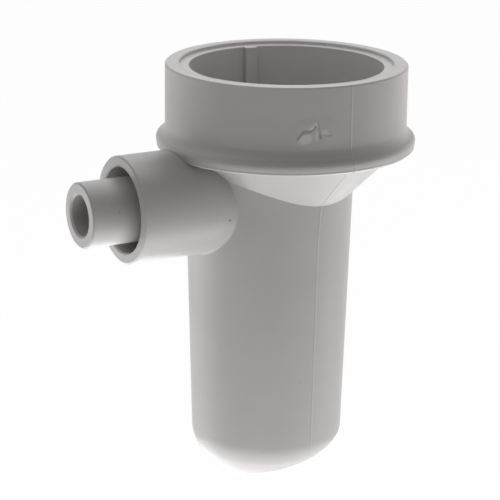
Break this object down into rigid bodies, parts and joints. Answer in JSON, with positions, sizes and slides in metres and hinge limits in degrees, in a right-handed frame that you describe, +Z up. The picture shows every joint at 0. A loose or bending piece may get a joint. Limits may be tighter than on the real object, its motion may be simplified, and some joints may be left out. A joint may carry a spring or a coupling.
{
  "type": "condensate trap",
  "caption": "Grey moulded condensate trap body: open collar with a rounded flange, skewed funnel, deep domed cup and a side outlet tube inside a short sleeve.",
  "frame": {"origin": "centre of the collar's mouth, in the plane of its rim", "axes": "+Z up along the collar's axis, out of the mouth; the outlet points along -X; the cup hangs below"},
  "size_m": [0.0739, 0.0536, 0.0867],
  "materials": {
    "grey_plastic": "fine moulded satin, a faint parting line and gate scar"
  },
  "bodies": {
    "root": {"trap_body": "grey_plastic"}
  },
  "joints": []
}
